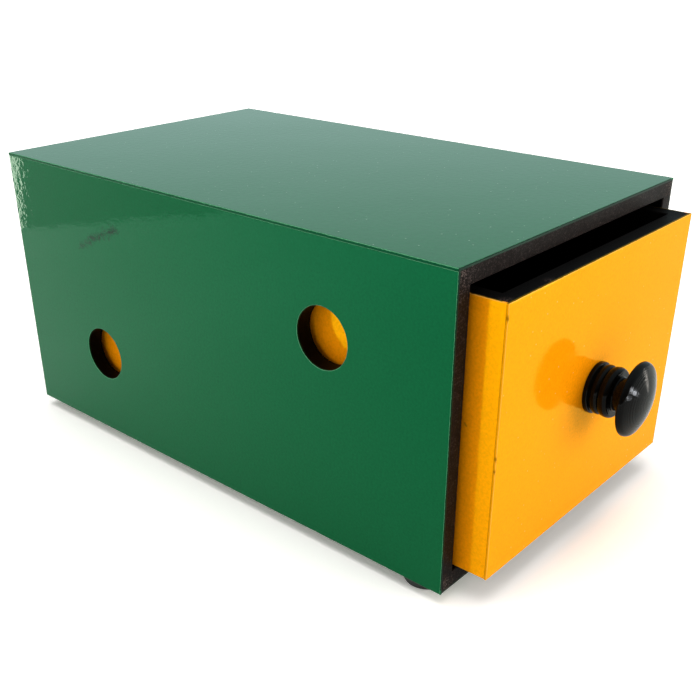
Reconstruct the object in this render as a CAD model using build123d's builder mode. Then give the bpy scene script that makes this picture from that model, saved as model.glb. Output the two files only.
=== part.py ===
from build123d import *
import os
from math import atan2, degrees

# A drawer box: a case of thin boards, open at the front, and an open-topped drawer that slides in it.
# Both are pinned together from boards and faced outside with sheets of glossy laminate.
# Millimetres. +Z is up and the drawer opens towards -Y. The origin is on the surface that the box
# stands on, under the middle of the whole object with its drawer standing a little way out.

os.makedirs("parts", exist_ok=True)

# Case
case_width = 156.0
case_depth = 257.0
case_height = 127.0
case_board = 6.35
laminate = 1.0
arris = 0.35

# Sight holes, two through each side of the case
sight_hole_radius = 12.5
sight_hole_from_end = 58.5
sight_hole_low = 40.6
sight_hole_high = 87.3
sight_hole_ease = 0.25

# Drawer
drawer_board = 6.35
drawer_out = 13.2
drawer_gap_left = 2.5
drawer_gap_right = 0.3
drawer_gap_above = 3.9
drawer_gap_below = 0.4
drawer_gap_behind = 0.6

# Knob, measured outwards from the face of the drawer
knob_height = 22.0
knob_flange_radius = 10.4
knob_flange_thickness = 2.0
knob_groove_radius = 9.1
knob_bead_radius = 10.0
knob_bead_width = 3.2
knob_collar_radius = 10.2
knob_collar_width = 4.2
knob_neck_radius = 6.6
knob_neck_length = 2.6
knob_head_radius = 14.9
knob_head_dome = 5.4
knob_shoulder = 2.4
knob_edge = 0.6
knob_groove_width = 0.5

# Screw and washer that hold the knob from inside the drawer
knob_screw_radius = 2.0
knob_screw_grip = 10.0
knob_screw_head_radius = 3.8
knob_screw_head_height = 2.6
washer_radius = 4.6
washer_thickness = 0.8

# Feet, each held by one screw
foot_radius = 9.5
foot_height = 5.0
foot_flat_radius = 8.3
front_foot_from_side = 11.5
back_foot_from_side = 15.0
foot_from_end = 14.7
foot_screw_radius = 1.2
foot_screw_grip = 5.0
foot_screw_head_radius = 2.2
foot_screw_head_height = 1.5
foot_recess_depth = 2.2

# Panel pins
pin_radius = 0.6
pin_length = 19.0
pin_tip = 1.8
pin_from_end = 16.0
case_pins_along_side = 4
drawer_pins_along_side = 3

# Clearances
pin_clearance = 0.05
screw_thread_clearance = 0.05
screw_shank_clearance = 0.25
screw_head_clearance = 0.3
screw_tip_clearance = 0.8
cross_slot_width = 0.8
cross_slot_depth = 0.9

# Places that follow from the sizes
overall_depth = knob_height + drawer_out + case_depth
case_front = overall_depth / 2 - case_depth
case_back = overall_depth / 2
case_low = foot_height
case_top = case_low + case_height
case_half = case_width / 2
case_wall = case_board + laminate
board_half = case_half - laminate
inside_half = case_half - case_wall
inside_low = case_low + case_wall
inside_top = case_top - case_wall
board_low = case_low + laminate
board_top = case_top - laminate
board_back = case_back - laminate
inside_back = case_back - case_wall

drawer_wall = drawer_board + laminate
drawer_left = -inside_half + drawer_gap_left
drawer_right = inside_half - drawer_gap_right
drawer_middle = (drawer_left + drawer_right) / 2
drawer_half = (drawer_right - drawer_left) / 2
drawer_front = case_front - drawer_out
drawer_back = inside_back - drawer_out - drawer_gap_behind
drawer_low = inside_low + drawer_gap_below
drawer_top = inside_top - drawer_gap_above
knob_centre_height = (drawer_low + drawer_top) / 2


def save(piece, name):
    """Name a finished piece and write it to its own file."""
    piece.part.label = name
    export_step(piece.part, f"parts/{name}.step")


def block(x_span, y_span, z_span):
    """Add a rectangular block between the pairs of coordinates to the piece being built."""
    with BuildSketch(Plane.XY.offset(z_span[0])) as plan:
        with Locations(((x_span[0] + x_span[1]) / 2, (y_span[0] + y_span[1]) / 2)):
            Rectangle(x_span[1] - x_span[0], y_span[1] - y_span[0])
    extrude(plan.sketch, amount=z_span[1] - z_span[0])


def beside(middle, side, near, far):
    """The span from near to far, left (side -1) or right (side 1) of a middle plane."""
    return tuple(sorted((middle + side * near, middle + side * far)))


def ease_outer_face(piece, axis, end):
    """Ease the arris all round the outermost face along an axis: end 0 for its low face, -1 for its high."""
    face = piece.faces().sort_by(axis)[end]
    chamfer(face.outer_wire().edges(), arris)


def spread(low, high, count):
    """Places spaced evenly from low to high, the ends among them."""
    return [low + (high - low) * i / (count - 1) for i in range(count)]


# Pins. Each place is the middle of a pin's head, with its own Z axis pointing to the tip.
def pin_place(x, y, z, towards):
    """The place of a pin whose head is at a point and which was driven along a direction."""
    return Plane(origin=(x, y, z), z_dir=towards).location


def bore_for_pins(places):
    """Cut a close hole for each pin in the piece being built."""
    with Locations(*places):
        Cylinder(
            pin_radius + pin_clearance,
            pin_length + pin_clearance,
            align=(Align.CENTER, Align.CENTER, Align.MIN),
            mode=Mode.SUBTRACT,
        )


def pins(places):
    """Plain pins with a pointed tip, one at each place."""
    with BuildPart() as group:
        for place in places:
            with BuildSketch(Plane(place)):
                Circle(pin_radius)
            extrude(amount=pin_length - pin_tip)
            with BuildSketch(Plane(place).offset(pin_length - pin_tip)):
                Circle(pin_radius)
            with BuildSketch(Plane(place).offset(pin_length)):
                Circle(pin_radius / 4)
            loft(ruled=True)
    return group


side_board_middle = board_half - case_board / 2
back_board_middle = board_back - case_board / 2
along_case_side = spread(case_front + pin_from_end, inside_back - pin_from_end, case_pins_along_side)
across_back = (-inside_half + pin_from_end, inside_half - pin_from_end)
up_back = (inside_low + pin_from_end, inside_top - pin_from_end)

top_pins = [
    pin_place(side * side_board_middle, y, board_top, (0, 0, -1))
    for side in (-1, 1)
    for y in along_case_side
] + [pin_place(x, back_board_middle, board_top, (0, 0, -1)) for x in across_back]
bottom_pins = [
    pin_place(side * side_board_middle, y, board_low, (0, 0, 1))
    for side in (-1, 1)
    for y in along_case_side
] + [pin_place(x, back_board_middle, board_low, (0, 0, 1)) for x in across_back]
back_pins = [
    pin_place(side * board_half, back_board_middle, z, (-side, 0, 0)) for side in (-1, 1) for z in up_back
]

# Case boards: the top and bottom lie over the ends of the sides, and the back fits between all four
foot_places = [
    (side * (case_half - from_side), y)
    for side in (-1, 1)
    for y, from_side in (
        (case_front + foot_from_end, front_foot_from_side),
        (case_back - foot_from_end, back_foot_from_side),
    )
]
sight_hole_places = [
    (case_front + sight_hole_from_end, case_low + sight_hole_high),
    (case_back - sight_hole_from_end, case_low + sight_hole_low),
]


def ease_case_mouth():
    """Ease the inner arris round the mouth of the case, on the board being built."""
    front = Plane(origin=(0, case_front, (inside_low + inside_top) / 2), x_dir=(1, 0, 0), z_dir=(0, 1, 0))
    with BuildSketch(front) as mouth:
        Rectangle(2 * (inside_half + arris), inside_top - inside_low + 2 * arris)
    extrude(mouth.sketch, amount=arris, taper=45, mode=Mode.SUBTRACT)


with BuildPart() as case_top_panel:
    block((-board_half, board_half), (case_front, board_back), (inside_top, board_top))
    ease_case_mouth()
    bore_for_pins(top_pins)
save(case_top_panel, "case_top_panel")

with BuildPart() as case_bottom_panel:
    block((-board_half, board_half), (case_front, board_back), (board_low, inside_low))
    ease_case_mouth()
    bore_for_pins(bottom_pins)
    with BuildSketch(Plane.XY.offset(case_low)):
        with Locations(*foot_places):
            Circle(foot_screw_radius + screw_thread_clearance)
    extrude(amount=foot_screw_grip + screw_tip_clearance, mode=Mode.SUBTRACT)
save(case_bottom_panel, "case_bottom_panel")

with BuildPart() as case_back_panel:
    block((-inside_half, inside_half), (inside_back, board_back), (inside_low, inside_top))
    bore_for_pins(top_pins + bottom_pins + back_pins)
save(case_back_panel, "case_back_panel")

for side, hand in ((-1, "left"), (1, "right")):
    with BuildPart() as case_side_panel:
        block(beside(0, side, inside_half, board_half), (case_front, board_back), (inside_low, inside_top))
        ease_case_mouth()
        bore_for_pins(top_pins + bottom_pins + back_pins)
        with BuildSketch(Plane.YZ):
            with Locations(*sight_hole_places):
                Circle(sight_hole_radius)
        extrude(amount=side * case_half, mode=Mode.SUBTRACT)
    save(case_side_panel, f"case_{hand}_panel")

    # The side sheets run the full depth and down to the underside
    with BuildPart() as case_side_laminate:
        block(beside(0, side, board_half, case_half), (case_front, case_back), (case_low, board_top))
        ease_outer_face(case_side_laminate, Axis.X, 0 if side < 0 else -1)
        with BuildSketch(Plane.YZ):
            with Locations(*sight_hole_places):
                Circle(sight_hole_radius)
        extrude(amount=side * case_half, mode=Mode.SUBTRACT)
        outer_face = case_side_laminate.faces().sort_by(Axis.X)[0 if side < 0 else -1]
        chamfer([edge for rim in outer_face.inner_wires() for edge in rim.edges()], sight_hole_ease)
    save(case_side_laminate, f"case_{hand}_laminate")

# The top sheet covers the upper edges of the others
with BuildPart() as case_top_laminate:
    block((-case_half, case_half), (case_front, case_back), (board_top, case_top))
    ease_outer_face(case_top_laminate, Axis.Z, -1)
save(case_top_laminate, "case_top_laminate")

with BuildPart() as case_back_laminate:
    block((-board_half, board_half), (board_back, case_back), (case_low, board_top))
    ease_outer_face(case_back_laminate, Axis.Y, -1)
save(case_back_laminate, "case_back_laminate")

with BuildPart() as case_bottom_laminate:
    block((-board_half, board_half), (case_front, board_back), (case_low, board_low))
    with BuildSketch(Plane.XY.offset(case_low)):
        with Locations(*foot_places):
            Circle(foot_screw_radius + screw_shank_clearance)
    extrude(amount=laminate, mode=Mode.SUBTRACT)
save(case_bottom_laminate, "case_bottom_laminate")

case_panel_pins = pins(top_pins + bottom_pins + back_pins)
save(case_panel_pins, "case_panel_pins")


# Feet: a domed rubber button with a flat under it and a recess for the screw head
def cut_cross_slots(face, outer_radius):
    """Cut a screwdriver's cross into the screw head whose outer face lies on a plane pointing out of it."""
    with BuildSketch(face) as cross:
        Rectangle(outer_radius, cross_slot_width)
        Rectangle(cross_slot_width, outer_radius)
    extrude(cross.sketch, amount=-cross_slot_depth, mode=Mode.SUBTRACT)


foot_web = foot_height - foot_recess_depth

for (x, y), name in zip(foot_places, ("front_left", "back_left", "front_right", "back_right")):
    foot_section = Plane(origin=(x, y, 0), x_dir=(1, 0, 0), z_dir=(0, -1, 0))
    with BuildPart() as foot:
        with BuildSketch(foot_section):
            with BuildLine():
                dome = EllipticalCenterArc(
                    (foot_flat_radius, foot_height),
                    x_radius=foot_radius - foot_flat_radius,
                    y_radius=foot_height,
                    start_angle=-90,
                    arc_size=90,
                )
                Line(dome @ 1, (0, foot_height))
                Line((0, foot_height), (0, 0))
                Line((0, 0), dome @ 0)
            make_face()
        revolve(axis=Axis((x, y, 0), (0, 0, 1)))
        with BuildSketch(Plane.XY):
            with Locations((x, y)):
                Circle(foot_screw_head_radius + screw_head_clearance)
        extrude(amount=foot_recess_depth, mode=Mode.SUBTRACT)
        with BuildSketch(Plane.XY):
            with Locations((x, y)):
                Circle(foot_screw_radius + screw_shank_clearance)
        extrude(amount=foot_height, mode=Mode.SUBTRACT)
    save(foot, f"foot_{name}")

with BuildPart() as foot_screws:
    for x, y in foot_places:
        with BuildSketch(Plane.XY.offset(foot_recess_depth)):
            with Locations((x, y)):
                Circle(foot_screw_radius)
        extrude(amount=foot_web + foot_screw_grip)
        with BuildSketch(Plane.XY.offset(foot_recess_depth)):
            with Locations((x, y)):
                Circle(foot_screw_head_radius)
        extrude(amount=-foot_screw_head_height)
        head_face = foot_recess_depth - foot_screw_head_height
        cut_cross_slots(
            Plane(origin=(x, y, head_face), x_dir=(1, 0, 0), z_dir=(0, 0, -1)), 1.4 * foot_screw_head_radius
        )
save(foot_screws, "foot_screws")

# Drawer boards: the front and back lie over the ends of the sides, and the bottom fits inside all four
front_board_back = drawer_front + drawer_wall
back_board_front = drawer_back - drawer_wall
drawer_board_half = drawer_half - laminate
drawer_inside_half = drawer_half - drawer_wall
drawer_inside_low = drawer_low + drawer_board

drawer_side_middle = drawer_board_half - drawer_board / 2
drawer_bottom_middle = drawer_low + drawer_board / 2
up_drawer = spread(drawer_inside_low + pin_from_end / 2, drawer_top - pin_from_end, 3)
across_drawer = [drawer_middle + side * (drawer_inside_half - pin_from_end) for side in (-1, 1)]
along_drawer_side = spread(
    front_board_back + pin_from_end, back_board_front - pin_from_end, drawer_pins_along_side
)

drawer_front_pins = [
    pin_place(drawer_middle + side * drawer_side_middle, drawer_front + laminate, z, (0, 1, 0))
    for side in (-1, 1)
    for z in up_drawer
] + [pin_place(x, drawer_front + laminate, drawer_bottom_middle, (0, 1, 0)) for x in across_drawer]
drawer_back_pins = [
    pin_place(drawer_middle + side * drawer_side_middle, drawer_back - laminate, z, (0, -1, 0))
    for side in (-1, 1)
    for z in up_drawer
] + [pin_place(x, drawer_back - laminate, drawer_bottom_middle, (0, -1, 0)) for x in across_drawer]
drawer_side_pins = [
    pin_place(drawer_middle + side * drawer_board_half, y, drawer_bottom_middle, (-side, 0, 0))
    for side in (-1, 1)
    for y in along_drawer_side
]
drawer_pins = drawer_front_pins + drawer_back_pins + drawer_side_pins
drawer_board_span = (drawer_middle - drawer_board_half, drawer_middle + drawer_board_half)
drawer_inside_span = (drawer_middle - drawer_inside_half, drawer_middle + drawer_inside_half)

# Knob axis: outwards from the middle of the drawer's face
knob_face = Plane(origin=(drawer_middle, drawer_front, knob_centre_height), x_dir=(1, 0, 0), z_dir=(0, -1, 0))


def ease_drawer_mouth():
    """Ease the inner arris round the top of the drawer, on the board being built."""
    with BuildSketch(Plane.XY.offset(drawer_top)) as mouth:
        with Locations((drawer_middle, (front_board_back + back_board_front) / 2)):
            Rectangle(2 * (drawer_inside_half + arris), back_board_front - front_board_back + 2 * arris)
    extrude(mouth.sketch, amount=-arris, taper=45, mode=Mode.SUBTRACT)


def bore_for_knob_screw():
    """Cut the knob screw's clearance hole in the piece being built."""
    with BuildSketch(knob_face) as bore:
        Circle(knob_screw_radius + screw_shank_clearance)
    extrude(bore.sketch, amount=-drawer_wall, mode=Mode.SUBTRACT)


with BuildPart() as drawer_front_panel:
    block(drawer_board_span, (drawer_front + laminate, front_board_back), (drawer_low, drawer_top))
    ease_drawer_mouth()
    bore_for_pins(drawer_front_pins)
    bore_for_knob_screw()
save(drawer_front_panel, "drawer_front_panel")

with BuildPart() as drawer_back_panel:
    block(drawer_board_span, (back_board_front, drawer_back - laminate), (drawer_low, drawer_top))
    ease_drawer_mouth()
    bore_for_pins(drawer_back_pins)
save(drawer_back_panel, "drawer_back_panel")

with BuildPart() as drawer_bottom_panel:
    block(drawer_inside_span, (front_board_back, back_board_front), (drawer_low, drawer_inside_low))
    bore_for_pins(drawer_pins)
save(drawer_bottom_panel, "drawer_bottom_panel")

for side, hand in ((-1, "left"), (1, "right")):
    with BuildPart() as drawer_side_panel:
        block(
            beside(drawer_middle, side, drawer_inside_half, drawer_board_half),
            (front_board_back, back_board_front),
            (drawer_low, drawer_top),
        )
        ease_drawer_mouth()
        bore_for_pins(drawer_pins)
    save(drawer_side_panel, f"drawer_{hand}_side")

    # The side sheets end behind the front sheet and in front of the back one
    with BuildPart() as drawer_side_laminate:
        block(
            beside(drawer_middle, side, drawer_board_half, drawer_half),
            (drawer_front + laminate, drawer_back - laminate),
            (drawer_low, drawer_top),
        )
        ease_outer_face(drawer_side_laminate, Axis.X, 0 if side < 0 else -1)
    save(drawer_side_laminate, f"drawer_{hand}_laminate")

with BuildPart() as drawer_front_laminate:
    block((drawer_left, drawer_right), (drawer_front, drawer_front + laminate), (drawer_low, drawer_top))
    ease_outer_face(drawer_front_laminate, Axis.Y, 0)
    bore_for_knob_screw()
save(drawer_front_laminate, "drawer_front_laminate")

with BuildPart() as drawer_back_laminate:
    block((drawer_left, drawer_right), (drawer_back - laminate, drawer_back), (drawer_low, drawer_top))
    ease_outer_face(drawer_back_laminate, Axis.Y, -1)
save(drawer_back_laminate, "drawer_back_laminate")

drawer_panel_pins = pins(drawer_pins)
save(drawer_panel_pins, "drawer_panel_pins")

# Knob: one turned shape with a blind bore, drawn as half its section with its axis up the page
knob_section = Plane(
    origin=(drawer_middle, drawer_front, knob_centre_height), x_dir=(1, 0, 0), z_dir=(0, 0, -1)
)
flange_flat = knob_flange_radius - knob_edge
bead_start = knob_flange_thickness + knob_groove_width
collar_start = bead_start + knob_bead_width
collar_end = collar_start + knob_collar_width
neck_end = collar_end + knob_neck_length
dome_start = knob_height - knob_head_dome
flare = dome_start - knob_edge - neck_end
# The dome is a shoulder arc that runs smoothly into a flatter crown arc, centred on the knob's axis
shoulder_centre = knob_head_radius - knob_shoulder
crown_rise = knob_head_dome - knob_shoulder
crown_radius = (shoulder_centre**2 + knob_head_dome**2 - knob_shoulder**2) / (2 * crown_rise)
shoulder_turn = degrees(atan2(crown_radius - knob_head_dome, shoulder_centre))
crown_turn = 90 - shoulder_turn
knob_bore_radius = knob_screw_radius + screw_thread_clearance
knob_bore_depth = knob_screw_grip + screw_tip_clearance

with BuildPart() as knob:
    with BuildSketch(knob_section):
        with BuildLine():
            Line((knob_bore_radius, knob_bore_depth), (knob_bore_radius, 0))
            Line((knob_bore_radius, 0), (knob_flange_radius, 0))
            Line((knob_flange_radius, 0), (knob_flange_radius, knob_flange_thickness - knob_edge))
            CenterArc((flange_flat, knob_flange_thickness - knob_edge), knob_edge, 0, arc_size=90)
            Line((flange_flat, knob_flange_thickness), (knob_groove_radius, knob_flange_thickness))
            Line((knob_groove_radius, knob_flange_thickness), (knob_groove_radius, bead_start))
            ThreePointArc(
                (knob_groove_radius, bead_start),
                (knob_bead_radius, (bead_start + collar_start) / 2),
                (knob_groove_radius, collar_start),
            )
            ThreePointArc(
                (knob_groove_radius, collar_start),
                (knob_collar_radius, (collar_start + collar_end) / 2),
                (knob_groove_radius, collar_end),
            )
            Line((knob_groove_radius, collar_end), (knob_neck_radius + knob_edge, collar_end))
            CenterArc((knob_neck_radius + knob_edge, collar_end + knob_edge), knob_edge, -90, arc_size=-90)
            Line((knob_neck_radius, collar_end + knob_edge), (knob_neck_radius, neck_end))
            ThreePointArc(
                (knob_neck_radius, neck_end),
                (knob_neck_radius + 0.4 * (knob_head_radius - knob_neck_radius), neck_end + 0.6 * flare),
                (knob_head_radius - knob_edge, dome_start - knob_edge),
            )
            CenterArc((knob_head_radius - knob_edge, dome_start), knob_edge, -90, arc_size=90)
            CenterArc((shoulder_centre, dome_start), knob_shoulder, 0, arc_size=shoulder_turn)
            CenterArc((0, knob_height - crown_radius), crown_radius, shoulder_turn, arc_size=crown_turn)
            Line((0, knob_height), (0, knob_bore_depth))
            Line((0, knob_bore_depth), (knob_bore_radius, knob_bore_depth))
        make_face()
    revolve(axis=Axis((drawer_middle, drawer_front, knob_centre_height), (0, -1, 0)))
save(knob, "knob")

washer_face = knob_face.offset(-drawer_wall)
with BuildPart() as knob_washer:
    with BuildSketch(washer_face):
        Circle(washer_radius)
        Circle(knob_screw_radius + screw_shank_clearance, mode=Mode.SUBTRACT)
    extrude(amount=-washer_thickness)
save(knob_washer, "knob_washer")

screw_seat = knob_face.offset(-drawer_wall - washer_thickness)
with BuildPart() as knob_screw:
    with BuildSketch(screw_seat):
        Circle(knob_screw_radius)
    extrude(amount=washer_thickness + drawer_wall + knob_screw_grip)
    with BuildSketch(screw_seat):
        Circle(knob_screw_head_radius)
    extrude(amount=-knob_screw_head_height)
    cut_cross_slots(
        Plane(
            origin=screw_seat.offset(-knob_screw_head_height).origin, x_dir=(1, 0, 0), z_dir=(0, 1, 0)
        ),
        1.4 * knob_screw_head_radius,
    )
save(knob_screw, "knob_screw")
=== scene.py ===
"""Looks of the wooden drawer box: glossy sheet faces, painted boards, turned knob, rubber feet and light.

Lengths are in millimetres in names that end in _mm, names in capitals, sections, scuffs and knocks, and in
the corners and centres taken from CAD nodes; everything handed to Blender is in metres.
"""
import math
import bmesh
import bpy
import numpy as np
from mathutils import Matrix, Vector


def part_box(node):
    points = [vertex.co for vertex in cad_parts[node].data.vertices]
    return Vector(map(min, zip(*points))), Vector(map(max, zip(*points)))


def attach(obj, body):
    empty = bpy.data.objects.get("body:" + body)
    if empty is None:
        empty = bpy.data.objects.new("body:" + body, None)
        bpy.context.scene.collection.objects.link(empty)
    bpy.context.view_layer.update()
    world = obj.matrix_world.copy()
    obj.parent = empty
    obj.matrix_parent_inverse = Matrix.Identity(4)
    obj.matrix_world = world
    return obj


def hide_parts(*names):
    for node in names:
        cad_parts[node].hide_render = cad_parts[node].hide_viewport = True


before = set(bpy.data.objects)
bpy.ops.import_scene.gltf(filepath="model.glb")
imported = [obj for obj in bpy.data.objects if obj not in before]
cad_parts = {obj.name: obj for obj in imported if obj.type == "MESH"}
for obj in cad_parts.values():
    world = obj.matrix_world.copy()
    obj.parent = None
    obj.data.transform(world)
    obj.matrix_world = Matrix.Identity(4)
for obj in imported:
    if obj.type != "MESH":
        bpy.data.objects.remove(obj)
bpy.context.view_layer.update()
MM = 0.001
LEFT, RIGHT = -1, 1


# Places that the pieces and their wear are set out from, by the CAD nodes there
def corners_mm(name):
    """A CAD node's lowest and highest corners at rest."""
    low, high = (np.array(corner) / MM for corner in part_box(name))
    return low, high


case_low = corners_mm("case_left_laminate")[0]
case_high = corners_mm("case_top_laminate")[1]
drawer_low, drawer_high = corners_mm("drawer_front_laminate")
knob_low, knob_high = corners_mm("knob")
knob_base = ((knob_low[0] + knob_high[0]) / 2, knob_high[1], (knob_low[2] + knob_high[2]) / 2)
foot_centres = {}
for corner in ("front_left", "front_right", "back_left", "back_right"):
    foot_low, foot_high = corners_mm(f"foot_{corner}")
    foot_centres[corner] = ((foot_low[0] + foot_high[0]) / 2, (foot_low[1] + foot_high[1]) / 2, 0.0)


# Camera: a plain pinhole fitted to the straight edges of the box
def camera_from(place_mm, forward, up, lens_mm, shift):
    """The scene's camera at a place, looking along forward with up towards the picture's top."""
    ahead = Vector(forward).normalized()
    side = ahead.cross(Vector(up)).normalized()
    top = side.cross(ahead)
    data = bpy.data.cameras.new("camera")
    data.lens = lens_mm
    data.sensor_width = 36.0
    data.shift_x, data.shift_y = shift
    data.clip_start = 0.01
    data.clip_end = 60.0
    made = bpy.data.objects.new("camera", data)
    turned_to = Matrix((side, top, -ahead)).transposed().to_4x4()
    made.matrix_world = Matrix.Translation(Vector(place_mm) * MM) @ turned_to
    bpy.context.scene.collection.objects.link(made)
    return made


bpy.context.scene.camera = camera_from(
    place_mm=(-315.92, -271.09, 228.44),
    forward=(0.664189, 0.590763, -0.458095),
    up=(0.344874, 0.301538, 0.888896),
    lens_mm=49.07,
    shift=(0.02, 0.0886),
)
bpy.context.scene.view_settings.view_transform = "Standard"


# Colour and nodes
def linear(hex_colour):
    """An sRGB hex colour as linear light, opaque: above 0.04045 it is ((c + 0.055) / 1.055) to the 2.4."""
    parts = np.array([int(hex_colour[i : i + 2], 16) for i in (1, 3, 5)]) / 255
    light = np.where(parts <= 0.04045, parts / 12.92, ((parts + 0.055) / 1.055) ** 2.4)
    return (*light.tolist(), 1.0)


def node(tree, kind, values=None, out=None, **settings):
    """Add a shader node with its settings, and give its output called out, or the first one in use.

    Each value is an output to link to the input of that name or number, or what to set that input to.
    """
    made = tree.nodes.new("ShaderNode" + kind)
    for name, value in settings.items():
        setattr(made, name, value)
    for place, value in (values or {}).items():
        if isinstance(value, bpy.types.NodeSocket):
            tree.links.new(value, made.inputs[place])
        else:
            made.inputs[place].default_value = value
    return made.outputs[out] if out else next(socket for socket in made.outputs if socket.enabled)


def new_material(name):
    """A material, its node tree, and the output node, which is all the tree holds."""
    made = bpy.data.materials.new(name)
    made.use_nodes = True
    made.node_tree.nodes.clear()
    return made, made.node_tree, made.node_tree.nodes.new("ShaderNodeOutputMaterial")


# Laminate: melamine sheet on a phenolic core, pressed against a polished plate. That gives the eye a hard
# clear gloss with a faint orange peel, fine dust specks, dull smudges, and a paler line at each cut arris,
# which is part pale cut skin and part painted highlight.
def printed_paper(tree, place, face, pale, deep):
    """The printed sheet's colour: a tone that drifts over about 90 mm, and a mottle of about 1 mm."""
    drift = node(tree, "TexNoise", {"Vector": place, "Scale": 11.0, "Detail": 3.0, "Roughness": 0.5})
    tone = node(tree, "MixRGB", {"Fac": drift, "Color1": linear(deep), "Color2": linear(pale)})
    tone = node(tree, "MixRGB", {"Fac": 0.55, "Color1": tone, "Color2": linear(face)})
    mottle = node(tree, "TexNoise", {"Vector": place, "Scale": 950.0, "Detail": 2.0, "Roughness": 0.6})
    gain = {"From Min": 0.25, "From Max": 0.75, "To Min": 0.88, "To Max": 1.12}
    mottle = node(tree, "MapRange", {"Value": mottle, **gain})
    return node(tree, "VectorMath", {0: tone, "Scale": mottle}, operation="SCALE")


def dust_specks(tree, place):
    """Where dust lies under the skin: a quarter of cells 3 mm wide hold a speck of 0.6 mm in the middle.

    A face cuts few of the cells' middles, so the specks on it lie about 12 mm apart.
    """
    cells = {"Vector": place, "Scale": 330.0}
    away = node(tree, "TexVoronoi", cells)
    chosen = node(tree, "TexVoronoi", cells, out="Color")
    chosen = node(tree, "SeparateColor", {"Color": chosen})
    chosen = node(tree, "Math", {0: chosen, 1: 0.76}, operation="GREATER_THAN")
    fade = {"From Min": 0.06, "From Max": 0.13, "To Min": 1.0, "To Max": 0.0}
    speck = node(tree, "MapRange", {"Value": away, **fade})
    return node(tree, "Math", {0: speck, 1: chosen}, operation="MULTIPLY")


def scuffed(tree, place, tone, scuffs):
    """The tone with scuffs on it, and how scuffed each point is, from 0 to 1.

    A scuff is (from, to, half width, strength, colour), places in mm. The distance to the line from a to b
    is |v - d * clamp(v.d / d.d)|, where v is from a and d is b - a. The mark shows where fine noise less
    half the distance in half widths is high, so its edge is ragged.
    """
    torn = node(tree, "TexNoise", {"Vector": place, "Scale": 480.0, "Detail": 5.0, "Roughness": 0.75})
    marked = None
    for begin, end, half_width, strength, colour in scuffs:
        start, run = Vector(begin) * MM, (Vector(end) - Vector(begin)) * MM
        away = node(tree, "VectorMath", {0: place, 1: start}, operation="SUBTRACT")
        share = node(tree, "VectorMath", {0: away, 1: run / run.length_squared}, operation="DOT_PRODUCT")
        share = node(tree, "MapRange", {"Value": share, "From Min": 0.0, "From Max": 1.0})
        nearest = node(tree, "VectorMath", {0: run, "Scale": share}, operation="SCALE")
        away = node(tree, "VectorMath", {0: away, 1: nearest}, operation="DISTANCE")
        nearer = {0: away, 1: -0.5 / (half_width * MM), 2: torn}
        nearer = node(tree, "Math", nearer, operation="MULTIPLY_ADD")
        mark = {"Value": nearer, "From Min": 0.34, "From Max": 0.52, "To Max": strength}
        mark = node(tree, "MapRange", mark)
        tone = node(tree, "MixRGB", {"Fac": mark, "Color1": tone, "Color2": linear(colour)})
        marked = node(tree, "Math", {0: marked, 1: mark}, operation="MAXIMUM") if marked else mark
    return tone, marked


def cut_edge(tree, place, tone, face, pale_arris_and_glint, core, face_share, line_mm, line_share, glue_mm):
    """The tone with the sheet's cut edge on it, and where the clear skin is cut through, from 0 to 1.

    The arris cuts the skin and the printed layer, which shows as a pale line line_mm deep and line_share
    strong; that line also holds a painted highlight, the glint along the arris. Below it the edge is
    face_share times the face, down to a dark glue line that starts at glue_mm.
    Chips bare the core, and black paint covers what lies deeper than the attribute paint_from_mm says.
    """
    depth = node(tree, "Attribute", out="Fac", attribute_name="depth_mm")
    paint_from = node(tree, "Attribute", out="Fac", attribute_name="paint_from_mm")
    chipped = node(tree, "Attribute", out="Fac", attribute_name="chipped")

    ragged = node(tree, "TexNoise", {"Vector": place, "Scale": 900.0, "Detail": 3.0, "Roughness": 0.7})
    swing_mm = {"From Min": 0.2, "From Max": 0.8, "To Min": -0.14, "To Max": 0.14}
    ragged = node(tree, "MapRange", {"Value": ragged, **swing_mm})
    below = node(tree, "MapRange", {"Value": depth, "From Min": 0.0, "From Max": 0.12})
    ragged = node(tree, "Math", {0: ragged, 1: below}, operation="MULTIPLY")
    cut = node(tree, "Math", {0: depth, 1: ragged}, operation="ADD")

    skin = node(tree, "MapRange", {"Value": cut, "From Min": 0.01, "From Max": 0.05})
    edge = tuple(face_share * c for c in linear(face)[:3]) + (1.0,)
    tone = node(tree, "MixRGB", {"Fac": skin, "Color1": tone, "Color2": edge})
    # The pale line: pale cut skin with a painted highlight of the arris on top of it
    line = {"From Min": line_mm, "From Max": line_mm + 0.05, "To Min": line_share, "To Max": 0.0}
    line = node(tree, "MapRange", {"Value": cut, **line})
    line = node(tree, "Math", {0: line, 1: skin}, operation="MULTIPLY")
    tone = node(tree, "MixRGB", {"Fac": line, "Color1": tone, "Color2": linear(pale_arris_and_glint)})

    glue = {"From Min": glue_mm, "From Max": glue_mm + 0.08, "To Max": 0.75}
    glue = node(tree, "MapRange", {"Value": cut, **glue})
    chip = node(tree, "MapRange", {"Value": cut, "From Min": 0.02, "From Max": 0.08})
    chip = node(tree, "Math", {0: chip, 1: chipped}, operation="MULTIPLY")
    bare = node(tree, "Math", {0: glue, 1: chip}, operation="MAXIMUM")
    tone = node(tree, "MixRGB", {"Fac": bare, "Color1": tone, "Color2": linear(core)})
    paint = node(tree, "Math", {0: cut, 1: paint_from}, operation="SUBTRACT")
    paint = node(tree, "MapRange", {"Value": paint, "From Min": 0.0, "From Max": 0.05})
    tone = node(tree, "MixRGB", {"Fac": paint, "Color1": tone, "Color2": linear("#0B0807")})
    return tone, skin


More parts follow.
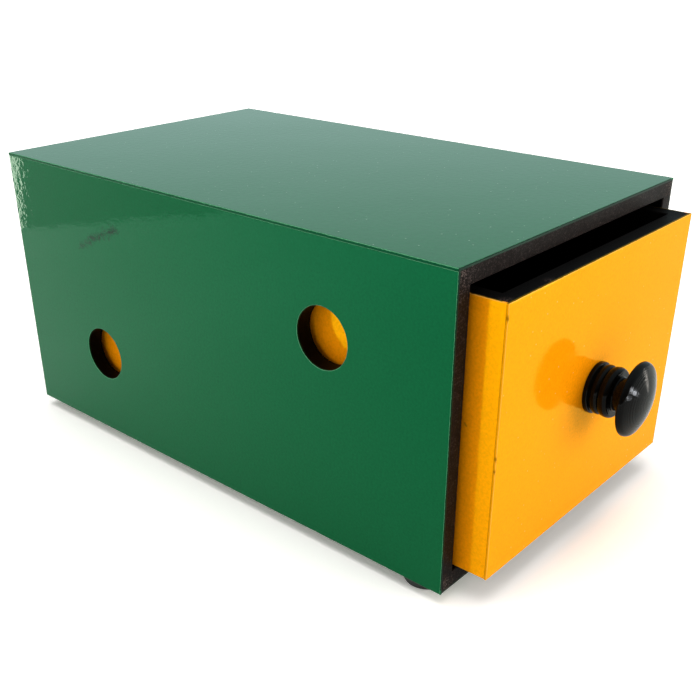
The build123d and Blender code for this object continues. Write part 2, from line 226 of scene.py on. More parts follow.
def gloss_laminate(name, face, pale, deep, edge, tint, level, rough_range, scuffs):
    """Glossy sheet whose face drifts between two near tones, with a cut arris and a painted or bare edge.

    rough_range is the face's roughness where it is clean and where hands have been, and edge holds the last
    values that cut_edge takes. The level is low and the tint strong, over 1, because the photo's gloss takes
    the sheet's own colour more than a plain clear skin would.
    """
    made, tree, out = new_material(name)
    place = node(tree, "TexCoord", out="Object")
    tone = printed_paper(tree, place, face, pale, deep)
    speck = dust_specks(tree, place)
    faint = node(tree, "Math", {0: speck, 1: 0.23}, operation="MULTIPLY")
    tone = node(tree, "MixRGB", {"Fac": faint, "Color1": tone, "Color2": linear("#C9D6CC")})
    tone, marked = scuffed(tree, place, tone, scuffs)
    tone, skin = cut_edge(tree, place, tone, face, **edge)

    # Smudges from hands, 25 mm across. The sawn or painted edge, specks and scuffs are duller than the face
    smudge = node(tree, "TexNoise", {"Vector": place, "Scale": 38.0, "Detail": 5.0, "Roughness": 0.65})
    spread = {"From Min": 0.35, "From Max": 0.7, "To Min": rough_range[0], "To Max": rough_range[1]}
    rough = node(tree, "MapRange", {"Value": smudge, **spread})
    for mask, added in ((skin, 0.34), (speck, 0.2), (marked, 0.4)):
        rough = node(tree, "Math", {0: mask, 1: added, 2: rough}, operation="MULTIPLY_ADD")

    # Orange peel of about 2.3 mm and the board's own long waves of about 45 mm under the sheet
    waves = node(tree, "TexNoise", {"Vector": place, "Scale": 22.0, "Detail": 1.0, "Roughness": 0.4})
    peel = node(tree, "TexNoise", {"Vector": place, "Scale": 430.0, "Detail": 1.0, "Roughness": 0.5})
    bump = node(tree, "Bump", {"Height": waves, "Distance": 0.00012, "Strength": 1.0})
    bump = node(tree, "Bump", {"Height": peel, "Distance": 0.00003, "Strength": 1.0, "Normal": bump})
    bump = node(tree, "Bump", {"Height": speck, "Distance": 0.00002, "Strength": 1.0, "Normal": bump})
    shader = node(
        tree,
        "BsdfPrincipled",
        {
            "Base Color": tone,
            "Roughness": rough,
            "IOR": 1.5,
            "Specular IOR Level": level,
            "Specular Tint": (*tint, 1.0),
            "Normal": bump,
        },
    )
    tree.links.new(shader, out.inputs["Surface"])
    return made


def on_case_side(from_back, up):
    """A place on the case's left face, by its distances from the back and from the underside."""
    return case_low[0], case_high[1] - from_back, case_low[2] + up


def on_drawer_side(from_front, up):
    """A place on the drawer's left face, by its distances from the front and from the underside."""
    return drawer_low[0], drawer_low[1] + from_front, drawer_low[2] + up


green_sheet = gloss_laminate(
    "green_high_gloss_laminate",
    face="#0A532E",
    pale="#0D5631",
    deep="#08502B",
    edge={
        # Pale cut skin and a painted highlight along the arris
        "pale_arris_and_glint": "#5FA27A",
        "core": "#07160E",
        "face_share": 0.55,
        "line_mm": 0.15,
        "line_share": 0.85,
        "glue_mm": 0.88,
    },
    tint=(0.0, 2.15, 1.05),
    level=0.1,
    rough_range=(0.004, 0.015),
    scuffs=[
        (on_case_side(50.4, 91.8), on_case_side(63.0, 98.1), 6.0, 0.75, "#1C261C"),
        (on_case_side(59.0, 96.9), on_case_side(77.9, 104.2), 7.0, 1.0, "#161D15"),
    ],
)
orange_sheet = gloss_laminate(
    "orange_high_gloss_laminate",
    face="#FE9806",
    pale="#FE9C08",
    deep="#FD9404",
    edge={
        # Pale cut skin and a painted highlight along the arris
        "pale_arris_and_glint": "#FFC767",
        "core": "#7A2A08",
        "face_share": 0.75,
        "line_mm": 0.2,
        "line_share": 0.5,
        "glue_mm": 0.74,
    },
    tint=(130.0, 84.0, 0.0),
    level=0.015,
    rough_range=(0.07, 0.12),
    scuffs=[(on_drawer_side(13.2, 59.95), on_drawer_side(13.9, 60.65), 1.4, 0.7, "#5A3A14")],
)


# Fibreboard edges brushed with thin satin black: the fibres stand through the paint as a fine tooth,
# and where a corner is knocked the brown of the board shows.
def painted_board(name, dark, rim_tone, level, front_mm, knocks):
    """Satin black paint over fibreboard: deep black, and rim_tone on the edge before front_mm. On the case
    the deep black is partly painted shade, in the holes and the inside, and the rim is browner, partly from
    thinner paint and partly a painted reflection of the orange drawer.

    A knock is (place in mm, reach in mm): round it the fibres show through, more the nearer they are.
    """
    made, tree, out = new_material(name)
    place = node(tree, "TexCoord", out="Object")
    fibre = node(tree, "TexNoise", {"Vector": place, "Scale": 1500.0, "Detail": 4.0, "Roughness": 0.7})
    cloud = node(tree, "TexNoise", {"Vector": place, "Scale": 60.0, "Detail": 4.0, "Roughness": 0.6})
    along = node(tree, "SeparateXYZ", {"Vector": place}, out="Y")
    before = {"From Min": (front_mm + 0.3) * MM, "From Max": (front_mm + 0.7) * MM}
    front = node(tree, "MapRange", {"Value": along, **before, "To Min": 1.0, "To Max": 0.0})
    # Away from the front edge the deep black is partly painted shade; on the case the brown rim tone is
    # partly a painted reflection of the orange drawer
    tone = node(tree, "MixRGB", {"Fac": front, "Color1": linear(dark), "Color2": linear(rim_tone)})
    gain = {"From Min": 0.3, "From Max": 0.7, "To Min": 0.8, "To Max": 1.2}
    clouded = node(tree, "MapRange", {"Value": cloud, **gain})
    tone = node(tree, "VectorMath", {0: tone, "Scale": clouded}, operation="SCALE")

    shown = node(tree, "Math", {0: front, 1: 0.2}, operation="MULTIPLY")
    for spot, reach in knocks:
        away = node(tree, "VectorMath", {0: place, 1: Vector(spot) * MM}, operation="DISTANCE")
        near = {"From Min": 0.0, "From Max": reach * MM, "To Min": 1.0, "To Max": 0.0}
        near = node(tree, "MapRange", {"Value": away, **near})
        shown = node(tree, "Math", {0: shown, 1: near}, operation="MAXIMUM")
    standing = {"From Min": 0.52, "From Max": 0.66, "To Min": 0.0, "To Max": 0.7}
    worn = node(tree, "MapRange", {"Value": fibre, **standing})
    worn = node(tree, "Math", {0: worn, 1: shown}, operation="MULTIPLY")
    tone = node(tree, "MixRGB", {"Fac": worn, "Color1": tone, "Color2": linear("#85736E")})

    satin = {"From Min": 0.3, "From Max": 0.7, "To Min": 0.4, "To Max": 0.55}
    rough = node(tree, "MapRange", {"Value": cloud, **satin})
    bump = node(tree, "Bump", {"Height": fibre, "Distance": 0.00006, "Strength": 1.0})
    shader = node(
        tree,
        "BsdfPrincipled",
        {"Base Color": tone, "Roughness": rough, "IOR": 1.5, "Specular IOR Level": level, "Normal": bump},
    )
    tree.links.new(shader, out.inputs["Surface"])
    return made


# Knob: turned beech under two coats of black lacquer. The lacquer is glossy but follows the turning marks.
def lacquered_knob(axis_mm):
    """Black gloss lacquer over turned wood, with turning marks round the axis and faint dull patches."""
    made, tree, out = new_material("black_lacquer_on_turned_beech")
    place = node(tree, "TexCoord", out="Object")
    patch = node(tree, "TexNoise", {"Vector": place, "Scale": 260.0, "Detail": 4.0, "Roughness": 0.6})
    scratch = node(tree, "TexNoise", {"Vector": place, "Scale": 1500.0, "Detail": 4.0, "Roughness": 0.7})
    tone = node(tree, "MixRGB", {"Fac": patch, "Color1": linear("#030303"), "Color2": linear("#0A0908")})
    gloss = {"From Min": 0.35, "From Max": 0.7, "To Min": 0.018, "To Max": 0.04}
    rough = node(tree, "MapRange", {"Value": patch, **gloss})

    # Turning marks, about 0.7 mm apart: noise along the distance from the axis, in the plane across it
    away = node(tree, "VectorMath", {0: place, 1: Vector(axis_mm) * MM}, operation="SUBTRACT")
    away = node(tree, "VectorMath", {0: away, 1: (1.0, 0.0, 1.0)}, operation="MULTIPLY")
    away = node(tree, "VectorMath", {0: away}, operation="LENGTH")
    rings = {"W": away, "Scale": 1500.0, "Detail": 2.0, "Roughness": 0.6}
    rings = node(tree, "TexNoise", rings, noise_dimensions="1D")
    bump = node(tree, "Bump", {"Height": patch, "Distance": 0.00002, "Strength": 1.0})
    bump = node(tree, "Bump", {"Height": rings, "Distance": 0.00007, "Strength": 1.0, "Normal": bump})
    bump = node(tree, "Bump", {"Height": scratch, "Distance": 0.000014, "Strength": 1.0, "Normal": bump})
    shader = node(
        tree,
        "BsdfPrincipled",
        {"Base Color": tone, "Roughness": rough, "IOR": 1.5, "Specular IOR Level": 0.075, "Normal": bump},
    )
    tree.links.new(shader, out.inputs["Surface"])
    return made


# Feet: moulded black rubber, matt, with the fine spark-eroded texture of its mould
def moulded_rubber():
    """Matt black rubber with a fine mould texture and a little grey dust."""
    made, tree, out = new_material("moulded_black_rubber")
    place = node(tree, "TexCoord", out="Object")
    texture = node(tree, "TexNoise", {"Vector": place, "Scale": 2200.0, "Detail": 2.0, "Roughness": 0.5})
    dust = node(tree, "TexNoise", {"Vector": place, "Scale": 400.0, "Detail": 4.0, "Roughness": 0.7})
    tone = node(tree, "MixRGB", {"Fac": dust, "Color1": linear("#141414"), "Color2": linear("#2C2B2A")})
    bump = node(tree, "Bump", {"Height": texture, "Distance": 0.00004, "Strength": 1.0})
    finish = {"Base Color": tone, "Roughness": 0.62, "IOR": 1.52, "Normal": bump}
    shader = node(tree, "BsdfPrincipled", finish)
    tree.links.new(shader, out.inputs["Surface"])
    return made


# Screws, washer and pins: drawn steel with a thin bright zinc plate
def plated_steel():
    """Zinc-plated steel with faint clouding."""
    made, tree, out = new_material("zinc_plated_steel")
    place = node(tree, "TexCoord", out="Object")
    cloud = node(tree, "TexNoise", {"Vector": place, "Scale": 700.0, "Detail": 3.0, "Roughness": 0.6})
    tone = node(tree, "MixRGB", {"Fac": cloud, "Color1": linear("#8E9094"), "Color2": linear("#B4B5B4")})
    clouding = {"From Min": 0.3, "From Max": 0.7, "To Min": 0.25, "To Max": 0.42}
    rough = node(tree, "MapRange", {"Value": cloud, **clouding})
    bump = node(tree, "Bump", {"Height": cloud, "Distance": 0.00002, "Strength": 1.0})
    finish = {"Base Color": tone, "Roughness": rough, "Metallic": 1.0, "Normal": bump}
    shader = node(tree, "BsdfPrincipled", finish)
    tree.links.new(shader, out.inputs["Surface"])
    return made


# The case's deep black inside is partly painted shade of the holes and the inside; its brown rim is partly
# thinner paint and partly a painted reflection of the orange drawer
case_board = painted_board(
    "satin_black_paint_on_fibreboard",
    dark="#010101",
    rim_tone="#0F0907",
    level=0.045,
    front_mm=case_low[1],
    knocks=[
        ((case_low[0] + 1.0, case_low[1], case_high[2] - 1.5), 14.0),
        ((case_low[0] + 3.0, case_low[1], case_low[2] + 3.0), 7.0),
        ((case_high[0] - 2.0, case_low[1], case_high[2] - 3.0), 8.0),
    ],
)
drawer_board = painted_board(
    "deep_black_paint_on_fibreboard",
    dark="#080707",
    rim_tone="#050404",
    level=0.01,
    front_mm=drawer_low[1] + 1.1,
    knocks=[
        ((drawer_low[0] + 1.15, drawer_low[1] + 1.6, drawer_high[2]), 5.0),
        ((drawer_low[0] + 28.15, drawer_low[1] + 1.6, drawer_high[2]), 3.0),
    ],
)
lacquer = lacquered_knob(knob_base)
rubber = moulded_rubber()
steel = plated_steel()


# Meshes
def new_piece(name, points, faces, material, attributes=None):
    """A mesh object at the origin, from points in metres and faces by index.

    Each attribute has a value for each point.
    """
    mesh = bpy.data.meshes.new(name)
    mesh.from_pydata(points, [], faces)
    for title, values in (attributes or {}).items():
        mesh.attributes.new(title, "FLOAT", "POINT").data.foreach_set("value", values.astype(np.float32))
    mesh.materials.append(material)
    made = bpy.data.objects.new(name, mesh)
    bpy.context.scene.collection.objects.link(made)
    return made


def smooth(piece, angle_degrees):
    """Shade a piece smooth but for edges that turn more than an angle."""
    piece.data.shade_smooth()
    piece.data.set_sharp_from_angle(angle=math.radians(angle_degrees))


def quads_between(first, second):
    """Faces that join two closed rings of point numbers, one quad for each pair of neighbours."""
    after_first, after_second = np.roll(first, -1), np.roll(second, -1)
    return np.stack([first, after_first, after_second, second], axis=1)


# Sheets of laminate: the thickness, how wide the arris is, and how deep the black paint starts in a hole
# and, never reached, on an edge without paint
SHEET = 1.0
ARRIS, COVERED_ARRIS, RIM_ARRIS = 0.3, 0.06, 0.26
RIM_PAINT_FROM, NO_PAINT_FROM = 0.22, 9.0
# Rings of points on a sheet's edge: how far in the flat's rings lie, the last of them in arris widths,
# then the angles round the arris, and how far down the cut edge's middle ring lies, in thicknesses
OUTLINE_INSETS, RIM_INSETS = (6.0, 3.0, 1.6), (4.0, 1.6, 0.8)
LAST_INSET_SHARE = 1.35
ARRIS_TURN = np.linspace(0.0, np.pi / 2, 7)
MIDDLE_DEPTH_SHARE = 0.72
# How far apart points lie along an outline, and how many go round a hole
STEP, STEP_WITH_CHIPS, AROUND_HOLE = 2.0, 0.6, 144
SHEET_VALUES = ("depth_mm", "paint_from_mm", "chipped")
SQUARE_CORNERS = np.array([(-1, -1), (1, -1), (1, 1), (-1, 1), (-1, -1)], float)
LOW_V, HIGH_U, HIGH_V, LOW_U = range(4)


def closed_waves(along, length, seed, wavelengths):
    """A gently random height, -1 to 1, along a closed path: the mean of whole sine waves of random phase."""
    draw = np.random.default_rng(seed)
    total = np.zeros_like(along)
    for wavelength in wavelengths:
        turns = max(1, round(length / wavelength))
        total += np.sin(2 * np.pi * (turns * along / length + draw.random()))
    return total / len(wavelengths)


def edge_rings(arris_mm, flat_insets_mm):
    """The section of a sheet's edge as insets and depths, each a row per ring along the path.

    From the flat face the rings step out to the arris, turn over it half way between a straight cut and a
    quarter round, and go down the cut edge: inset = arris * (1 - s), depth = arris * c, where s is the mean
    of the turn's sine and its share of a right angle, and c is that of 1 less its cosine and that share.
    """
    share = ARRIS_TURN / (np.pi / 2)
    across = 0.5 * (np.sin(ARRIS_TURN) + share)
    down = 0.5 * ((1 - np.cos(ARRIS_TURN)) + share)
    insets = [np.full_like(arris_mm, inset) for inset in flat_insets_mm]
    insets += [arris_mm * LAST_INSET_SHARE]
    depths = [np.zeros_like(arris_mm)] * len(insets)
    insets += [arris_mm * (1 - a) for a in across]
    depths += [arris_mm * d for d in down]
    insets += [np.zeros_like(arris_mm)] * 2
    depths += [np.full_like(arris_mm, MIDDLE_DEPTH_SHARE * SHEET), np.full_like(arris_mm, SHEET)]
    return np.array(insets), np.array(depths)


def square_outline(half_sizes, step):
    """Points round a square of half size 1, about a step apart once it is stretched to a sheet's half sizes.

    Gives the points, the number of the side that each is on, how far round the sheet each is, and the whole
    length round it.
    """
    counts = [max(8, int(2 * half / step)) for half in half_sizes] * 2
    runs = []
    for side, count in enumerate(counts):
        share = np.linspace(0, 1, count, endpoint=False)[:, None]
        runs.append(SQUARE_CORNERS[side] * (1 - share) + SQUARE_CORNERS[side + 1] * share)
    square = np.concatenate(runs)
    stretched = square * half_sizes
    leg = np.hypot(*(np.roll(stretched, -1, axis=0) - stretched).T)
    along = np.concatenate([[0], np.cumsum(leg)[:-1]])
    return square, np.repeat(range(4), counts), along, leg.sum()


def worn_arris(along, length, side_of, covered, chips, seed):
    """How wide the arris is at each point round a sheet, and how chipped the sheet is there, from 0 to 1.

    The arris is uneven by up to 14 percent, in waves of 37, 13 and 6.1 mm. A chip is (distance round the
    outline, half width, added arris), all in mm, and a bell curve along the arris.
    """
    arris = ARRIS * (1 + 0.14 * closed_waves(along, length, seed, (37.0, 13.0, 6.1)))
    arris = np.where(np.isin(side_of, covered), COVERED_ARRIS, arris)
    chipped = np.zeros_like(along)
    for place, half_width, added in chips:
        gap = np.minimum(abs(along - place), length - abs(along - place))
        chip = np.exp(-((gap / half_width) ** 2))
        arris = arris + added * chip
        chipped = np.maximum(chipped, chip)
    return arris, chipped


def fill_flat(shape, rings, axis, facing):
    """Fill the flat between rings of point numbers with triangles that face up or down an axis."""
    edges = []
    for ring in rings:
        for a, b in zip(ring, np.roll(ring, -1)):
            edges.append(shape.edges.get((shape.verts[int(a)], shape.verts[int(b)])))
    filled = bmesh.ops.triangle_fill(shape, use_beauty=True, use_dissolve=False, edges=edges)
    new_faces = [made for made in filled["geom"] if isinstance(made, bmesh.types.BMFace)]
    for face in new_faces:
        face.normal_update()
        if face.normal[axis] * facing < 0:
            face.normal_flip()


def sheet_of_laminate(
    name,
    body,
    material,
    outward,
    seed,
    painted=(),
    paint_from_mm=0.07,
    covered=(),
    holes_mm=(),
    chips=(),
):
    """A laminate sheet in the place of its CAD node, by carrying the edge section round its outline.

    The outline is a square's perimeter stretched to the sheet's half sizes less the inset, so that corners
    mitre; a hole is a circle whose radius grows by the inset. outward is (axis number, sign) of its face.
    painted holds the sides of the outline, of LOW_V, HIGH_U, HIGH_V and LOW_U, that are black from
    paint_from_mm below the face. On the covered sides, which another sheet hides, the arris is left sharp.
    """
    low, high = corners_mm(name)
    axis, sign = outward
    u_axis, v_axis = [(1, 2), (2, 0), (0, 1)][axis]
    middle, half = (low + high) / 2, (high - low) / 2
    face_at = high[axis] if sign > 0 else low[axis]

    def in_place(u, v, depth):
        """Points from in-plane coordinates and depth below the outer face, on the sheet's own axes."""
        spot = np.zeros((*depth.shape, 3))
        spot[..., u_axis] = u
        spot[..., v_axis] = v
        spot[..., axis] = face_at - sign * depth
        return spot.reshape(-1, 3)

    step = STEP_WITH_CHIPS if chips else STEP
    square, side_of, along, length = square_outline(half[[u_axis, v_axis]], step)
    arris, chipped = worn_arris(along, length, side_of, covered, chips, seed)
    insets, depths = edge_rings(arris, OUTLINE_INSETS)
    outline = {
        "points": in_place(
            middle[u_axis] + square[:, 0] * (half[u_axis] - insets),
            middle[v_axis] + square[:, 1] * (half[v_axis] - insets),
            depths,
        ),
        "depth_mm": depths,
        "paint_from_mm": np.where(np.isin(side_of, painted), paint_from_mm, NO_PAINT_FROM),
        "chipped": chipped,
        "reverse": sign > 0,
    }
    paths = [outline]

    # A hole's rim is uneven by up to 12 percent, in waves of 11 and 5 mm
    for hole_u, hole_v, radius in holes_mm:
        turn = np.linspace(0, 2 * np.pi, AROUND_HOLE, endpoint=False)
        waves = closed_waves(turn * radius, 2 * np.pi * radius, seed + 7, (11.0, 5.0))
        insets, depths = edge_rings(RIM_ARRIS * (1 + 0.12 * waves), RIM_INSETS)
        reach = radius + insets
        rim = {
            "points": in_place(hole_u + reach * np.cos(turn), hole_v + reach * np.sin(turn), depths),
            "depth_mm": depths,
            "paint_from_mm": RIM_PAINT_FROM,
            "chipped": 0.0,
            "reverse": sign < 0,
        }
        paths.append(rim)

    faces, face_rings, back_rings = [], [], []
    used = 0
    for path in paths:
        depths = path["depth_mm"]
        numbers = used + np.arange(depths.size).reshape(depths.shape)
        used += depths.size
        for first, second in zip(numbers[:-1], numbers[1:]):
            quads = quads_between(first, second)
            faces.append(quads[:, ::-1] if path["reverse"] else quads)
        face_rings.append(numbers[0])
        back_rings.append(numbers[-1])

    values = {}
    for title in SHEET_VALUES:
        per_path = [np.broadcast_to(path[title], path["depth_mm"].shape).ravel() for path in paths]
        values[title] = np.concatenate(per_path)
    points = np.concatenate([path["points"] for path in paths]) * MM
    piece = new_piece(name + "_piece", points.tolist(), np.concatenate(faces).tolist(), material, values)

    shape = bmesh.new()
    shape.from_mesh(piece.data)
    shape.verts.ensure_lookup_table()
    fill_flat(shape, face_rings, axis, sign)
    fill_flat(shape, back_rings, axis, -sign)
    shape.to_mesh(piece.data)
    shape.free()
    smooth(piece, 50.0)
    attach(piece, body)
    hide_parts(name)


# Holes' radii, then the sight holes' distance from the case's ends and the heights of the front and back
# ones above its underside
SIGHT_HOLE, FOOT_SCREW_HOLE = 12.5, 1.35
SIGHT_FROM_END, SIGHT_FRONT_UP, SIGHT_BACK_UP = 58.5, 87.3, 40.6
sight_holes = [
    (case_low[1] + SIGHT_FROM_END, case_low[2] + SIGHT_FRONT_UP, SIGHT_HOLE),
    (case_high[1] - SIGHT_FROM_END, case_low[2] + SIGHT_BACK_UP, SIGHT_HOLE),
]
for hand, sign in (("left", LEFT), ("right", RIGHT)):
    sheet_of_laminate(
        f"case_{hand}_laminate",
        "case",
        green_sheet,
        outward=(0, sign),
        painted=(LOW_U,),
        holes_mm=sight_holes,
        seed=3 + sign,
    )
sheet_of_laminate(
    "case_top_laminate",
    "case",
    green_sheet,
    outward=(2, 1),
    painted=(LOW_V,),
    paint_from_mm=0.02,
    seed=9,
)
sheet_of_laminate("case_back_laminate", "case", green_sheet, outward=(1, 1), seed=12)
sheet_of_laminate(
    "case_bottom_laminate",
    "case",
    green_sheet,
    outward=(2, -1),
    painted=(LOW_V,),
    holes_mm=[(x, y, FOOT_SCREW_HOLE) for x, y, _ in foot_centres.values()],
    seed=15,
)
for hand, sign in (("left", LEFT), ("right", RIGHT)):
    sheet_of_laminate(
        f"drawer_{hand}_laminate",
        "drawer",
        orange_sheet,
        outward=(0, sign),
        painted=(HIGH_V,),
        paint_from_mm=0.24,
        covered=(LOW_U, HIGH_U),
        seed=21 + sign,
    )
# The front sheet's left edge is knocked 103, 51 and 46 mm above its lower corner
front_chips = [(103.0, 1.0, 0.3), (51.2, 0.8, 0.15), (46.2, 0.7, 0.1)]
for end, sign, chips in (("front", -1, front_chips), ("back", 1, ())):
    sheet_of_laminate(
        f"drawer_{end}_laminate",
        "drawer",
        orange_sheet,
        outward=(1, sign),
        painted=(HIGH_U,),
        paint_from_mm=0.24,
        chips=chips,
        seed=31 + sign,
    )


# Turned and moulded pieces
def arc(centre, radii, start_degrees, turn_degrees, count):
    """Points of an ellipse's arc: centre + radii * (cosine, sine) of the angle, from start through turn."""
    angle = np.radians(np.linspace(start_degrees, start_degrees + turn_degrees, count))
    return np.stack([centre[0] + radii[0] * np.cos(angle), centre[1] + radii[1] * np.sin(angle)], axis=1)


def turned(name, section_mm, origin_mm, along, material, around):
    """A closed surface by carrying a section, rows of (radius, height), round an axis through origin.

    A point is origin + radius * (cos * a + sin * b) + height * along, where a and b are square to along.
    The section starts and ends on the axis, and each end is one point, so the surface is closed.
    """
    ahead = np.array(along, float)
    a = np.array((1.0, 0.0, 0.0))
    b = np.cross(ahead, a)
    turn = np.linspace(0, 2 * np.pi, around, endpoint=False)
    spoke = np.cos(turn)[:, None] * a + np.sin(turn)[:, None] * b
    rings = section_mm[1:-1]
    points = rings[:, 0, None, None] * spoke + rings[:, 1, None, None] * ahead
    ends = section_mm[[0, -1], 1, None] * ahead
    points = (np.concatenate([ends, points.reshape(-1, 3)]) + np.array(origin_mm)) * MM
    numbers = 2 + np.arange(len(rings) * around).reshape(len(rings), around)
    quads = np.concatenate([quads_between(x, y) for x, y in zip(numbers[:-1], numbers[1:])])
    first = np.stack([np.zeros(around, int), np.roll(numbers[0], -1), numbers[0]], axis=1)
    last = np.stack([np.ones(around, int), numbers[-1], np.roll(numbers[-1], -1)], axis=1)
    piece = new_piece(name, points.tolist(), quads.tolist() + first.tolist() + last.tolist(), material)
    shape = bmesh.new()
    shape.from_mesh(piece.data)
    bmesh.ops.recalc_face_normals(shape, faces=shape.faces[:])
    shape.to_mesh(piece.data)
    shape.free()
    smooth(piece, 40.0)
    return piece


# Knob, from its base up: a flange, two beads, a neck that flares out to the head, its rim, and a dome. The
# dome has a shoulder of its own radius, and its crown is the arc that meets that without a corner.
KNOB_HEIGHT, DOME_RISE, SHOULDER, HEAD = 22.0, 5.4, 2.4, 14.9
dome_start = KNOB_HEIGHT - DOME_RISE
shoulder_centre = HEAD - SHOULDER
crown_rise = DOME_RISE - SHOULDER
crown_radius = (shoulder_centre**2 + DOME_RISE**2 - SHOULDER**2) / (2 * crown_rise)
shoulder_turn = math.degrees(math.atan2(crown_radius - DOME_RISE, shoulder_centre))
crown_centre = (0.0, KNOB_HEIGHT - crown_radius)
screw_mouth = [(0.0, 0.3), (2.05, 0.3), (2.05, 0.0), (5.0, 0.0)]
flange = [[(10.2, 0.0), (10.4, 0.15), (10.4, 0.8)], arc((9.8, 1.4), (0.6, 0.6), 0, 90, 8)]
first_bead = [[(9.25, 2.0), (9.1, 2.12), (9.1, 2.4)], arc((9.1, 4.1), (0.9, 1.6), -90, 180, 24)[1:-1]]
second_bead = [[(9.1, 5.72)], arc((9.1, 7.8), (1.1, 2.1), -90, 180, 28)[1:-1]]
neck = [
    [(8.6, 9.9), (7.2, 9.9)],
    arc((7.2, 10.5), (0.6, 0.6), -90, -90, 7),
    [(6.6, 11.3), (6.6, 11.9)],
    arc((14.3, 12.5), (7.7, 3.5), 180, -90, 26)[1:],
]
head = [
    arc((14.3, 16.6), (0.6, 0.6), -90, 90, 8)[1:],
    arc((shoulder_centre, dome_start), (SHOULDER, SHOULDER), 0, shoulder_turn, 20)[1:],
    arc(crown_centre, (crown_radius, crown_radius), shoulder_turn, 90 - shoulder_turn, 46)[1:],
]
knob_section = np.concatenate([screw_mouth, *flange, *first_bead, *second_bead, *neck, *head])
knob_section[-1, 0] = 0.0
knob = turned("knob_piece", knob_section, knob_base, (0, -1, 0), lacquer, around=192)
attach(knob, "drawer")
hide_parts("knob")

# Feet: a tapered button with a recess under it for the screw's head, whose mouth is a little rounded
FOOT, FOOT_FLAT, FOOT_HEIGHT = 9.5, 8.3, 5.0
RECESS, RECESS_DEPTH, MOUTH = 2.5, 2.2, 0.25
foot_section = np.concatenate(
    [
        [(0.0, FOOT_HEIGHT), (FOOT, FOOT_HEIGHT)],
        arc((FOOT_FLAT, FOOT_HEIGHT), (FOOT - FOOT_FLAT, FOOT_HEIGHT), 0, -90, 26)[1:],
        [(RECESS + MOUTH, 0.0)],
        arc((RECESS + MOUTH, MOUTH), (MOUTH, MOUTH), -90, -90, 5)[1:],
        [(RECESS, RECESS_DEPTH), (0.0, RECESS_DEPTH)],
    ]
)
for corner, centre in foot_centres.items():
    foot = turned(f"foot_{corner}_piece", foot_section, centre, (0, 0, 1), rubber, around=96)
    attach(foot, "case")
    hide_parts(f"foot_{corner}")


# CAD nodes that stay, with their finish
finishes = [
    ("", "_pins", steel),
    ("", "_screws", steel),
    ("", "_screw", steel),
    ("", "_washer", steel),
    ("drawer_", "_side", drawer_board),
    ("drawer_", "_panel", drawer_board),
    ("case_", "_panel", case_board),
]
for title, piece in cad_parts.items():
    for beginning, ending, finish in finishes:
        if title.startswith(beginning) and title.endswith(ending):
            for slot in piece.material_slots:
                slot.material = finish


# Floor and light
WHITE = (1.0, 1.0, 1.0, 1.0)


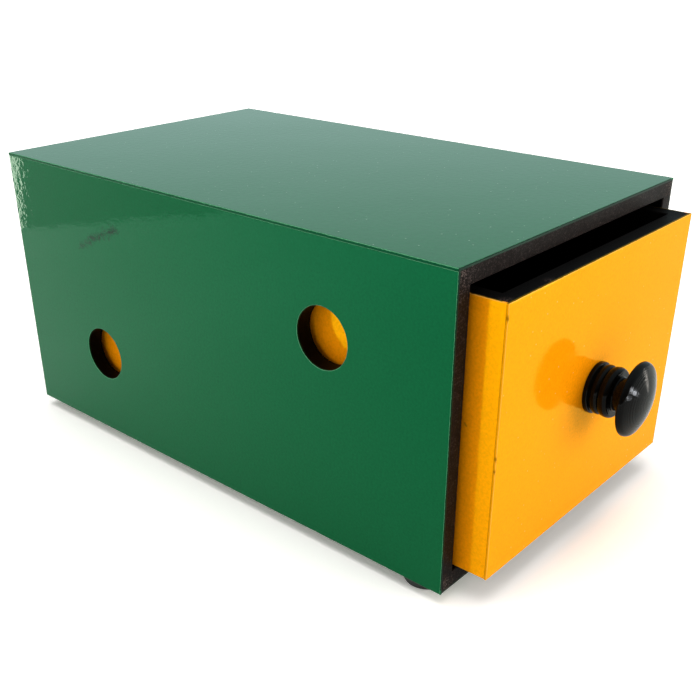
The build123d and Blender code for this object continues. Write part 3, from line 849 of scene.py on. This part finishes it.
def pale_floor():
    """A matt white sweep, plain white to the camera, that keeps soft shadows.

    In reflections it is darker beyond a line, as where the real table ends, with a bright strip there, as
    of a window. Beyond the line (-0.529, 0.849) . (x, y) is over 0.507 m, and in the strip
    (0.857, 0.515) . (x, y) is from 0.016 to 0.042 m. Reflections of the floor also brighten towards the
    back, along (-0.2, 0.98).
    """
    made, tree, out = new_material("matt_white_paper")
    camera = node(tree, "LightPath", out="Is Camera Ray")
    glossy = node(tree, "LightPath", out="Is Glossy Ray")
    through = node(tree, "LightPath", out="Is Transmission Ray")
    place = node(tree, "TexCoord", out="Object")
    seen = node(tree, "Math", {0: camera, 1: glossy}, operation="MAXIMUM")
    seen = node(tree, "Math", {0: seen, 1: through}, operation="MAXIMUM")

    beyond = node(tree, "VectorMath", {0: place, 1: (-0.529, 0.849, 0.0)}, operation="DOT_PRODUCT")
    beyond = node(tree, "MapRange", {"Value": beyond, "From Min": 0.502, "From Max": 0.512})
    beyond = node(tree, "Math", {0: beyond, 1: glossy}, operation="MULTIPLY")
    across = node(tree, "VectorMath", {0: place, 1: (0.857, 0.515, 0.0)}, operation="DOT_PRODUCT")
    strip = node(tree, "MapRange", {"Value": across, "From Min": 0.0156, "From Max": 0.0162})
    far_side = {"From Min": 0.04, "From Max": 0.044, "To Min": 1.0, "To Max": 0.0}
    strip_end = node(tree, "MapRange", {"Value": across, **far_side})
    strip = node(tree, "Math", {0: strip, 1: strip_end}, operation="MULTIPLY")
    strip = node(tree, "Math", {0: strip, 1: beyond}, operation="MULTIPLY")
    darker = {"From Min": 0.0, "From Max": 1.0, "To Min": 1.0, "To Max": 0.55}
    shade = node(tree, "MapRange", {"Value": beyond, **darker})
    windowed = node(tree, "VectorMath", {0: place, 1: (-0.2, 0.98, 0.0)}, operation="DOT_PRODUCT")
    brighter = {"From Min": -0.05, "From Max": 0.22, "To Min": 1.0, "To Max": 1.85}
    windowed = node(tree, "MapRange", {"Value": windowed, **brighter})
    windowed = node(tree, "Mix", {"Factor": glossy, "A": 1.0, "B": windowed}, data_type="FLOAT")
    shade = node(tree, "Math", {0: shade, 1: windowed}, operation="MULTIPLY")

    # Far from the box the floor glows to the eye as the room does, so that no horizon shows
    away = node(tree, "VectorMath", {0: place}, operation="LENGTH")
    faraway = {"From Min": 0.4, "From Max": 2.0, "To Min": 0.05, "To Max": 1.0}
    lift = node(tree, "MapRange", {"Value": away, **faraway})
    lift = node(tree, "Math", {0: seen, 1: lift}, operation="MULTIPLY")
    lift = node(tree, "Math", {0: lift, 1: shade}, operation="MULTIPLY")
    lift = node(tree, "Math", {0: strip, 1: 13.0, 2: lift}, operation="MULTIPLY_ADD")
    # The camera sees the paper lighter than the box does, so that it comes out plain white
    whites = {"Color1": (0.8, 0.87, 0.86, 1.0), "Color2": (1.2, 1.2, 1.2, 1.0)}
    paper = node(tree, "MixRGB", {"Fac": camera, **whites})
    paper = node(tree, "VectorMath", {0: paper, "Scale": shade}, operation="SCALE")
    warm = node(tree, "MixRGB", {"Fac": strip, "Color1": WHITE, "Color2": (1.0, 0.78, 0.74, 1.0)})
    paper = node(tree, "BsdfDiffuse", {"Color": paper})
    glow = node(tree, "Emission", {"Color": warm, "Strength": lift})
    both = node(tree, "AddShader", {0: paper, 1: glow})
    tree.links.new(both, out.inputs["Surface"])
    return made


span = 8.0
floor = new_piece(
    "floor",
    [(-span, -span, 0.0), (span, -span, 0.0), (span, span, 0.0), (-span, span, 0.0)],
    [(0, 1, 2, 3)],
    pale_floor(),
)


def softbox(name, place, target, width, height, watts, colour, mirrored):
    """A rectangular lamp facing a target: it lights surfaces or, mirrored, only shows in glossy ones."""
    data = bpy.data.lights.new(name, "AREA")
    data.shape = "RECTANGLE"
    data.size, data.size_y = width, height
    data.energy = watts
    data.color = linear(colour)[:3]
    made = bpy.data.objects.new(name, data)
    made.location = place
    made.rotation_euler = (Vector(target) - Vector(place)).to_track_quat("-Z", "Y").to_euler()
    made.visible_camera = False
    made.visible_diffuse = not mirrored
    made.visible_glossy = mirrored
    bpy.context.scene.collection.objects.link(made)


softbox("front_window", (0.7, -1.7, 0.6), (0.0, 0.0, 0.06), 2.0, 1.4, 32.0, "#FFF8EE", mirrored=False)
softbox("ceiling_panel", (-0.1, 0.15, 2.1), (0.0, 0.0, 0.0), 1.8, 1.8, 31.5, "#FFFDFA", mirrored=False)
softbox("left_fill", (-1.0, 0.38, 0.4), (-0.07, -0.05, 0.06), 1.0, 0.8, 5.8, "#FFF8EE", mirrored=False)
# Two panes of a window and a door's edge, which show only as small highlights on the knob's dome
dome_top = (0.001, -0.146, 0.067)
softbox("window_pane_right", (0.158, -0.513, 0.042), dome_top, 0.022, 0.036, 0.42, "#F4F8FF", mirrored=True)
softbox("window_pane_left", (0.066, -0.545, 0.02), dome_top, 0.018, 0.03, 0.24, "#F4F8FF", mirrored=True)
softbox("door_edge", (0.25, -0.314, 0.048), dome_top, 0.018, 0.09, 0.065, "#FFF8EE", mirrored=True)


def room():
    """White to the camera, soft light on surfaces; in reflections dark behind the camera and pale ahead."""
    world = bpy.data.worlds.new("room")
    bpy.context.scene.world = world
    world.use_nodes = True
    tree = world.node_tree
    tree.nodes.clear()
    out = tree.nodes.new("ShaderNodeOutputWorld")
    camera = node(tree, "LightPath", out="Is Camera Ray")
    glossy = node(tree, "LightPath", out="Is Glossy Ray")
    through = node(tree, "LightPath", out="Is Transmission Ray")
    way = node(tree, "TexCoord", out="Generated")
    facing = node(tree, "VectorMath", {0: way, 1: (0.66, 0.59, 0.45)}, operation="DOT_PRODUCT")
    front_to_back = {"From Min": -0.7, "From Max": 0.2, "To Min": 0.06, "To Max": 0.86}
    walls = node(tree, "MapRange", {"Value": facing, **front_to_back})
    upper_back = {"From Min": 0.8, "From Max": 1.0, "To Min": 0.0, "To Max": 0.14}
    above = node(tree, "MapRange", {"Value": facing, **upper_back})
    walls = node(tree, "Math", {0: walls, 1: above}, operation="ADD")
    soft = 0.38
    seen = node(tree, "Math", {0: camera, 1: through}, operation="MAXIMUM")
    strength = node(tree, "Mix", {"Factor": glossy, "A": soft, "B": walls}, data_type="FLOAT")
    strength = node(tree, "Mix", {"Factor": seen, "A": strength, "B": 1.0}, data_type="FLOAT")
    hue = node(tree, "MixRGB", {"Fac": glossy, "Color1": WHITE, "Color2": (0.84, 1.06, 1.1, 1.0)})
    sky = node(tree, "Background", {"Color": hue, "Strength": strength})
    tree.links.new(sky, out.inputs["Surface"])


room()

bpy.context.view_layer.update()
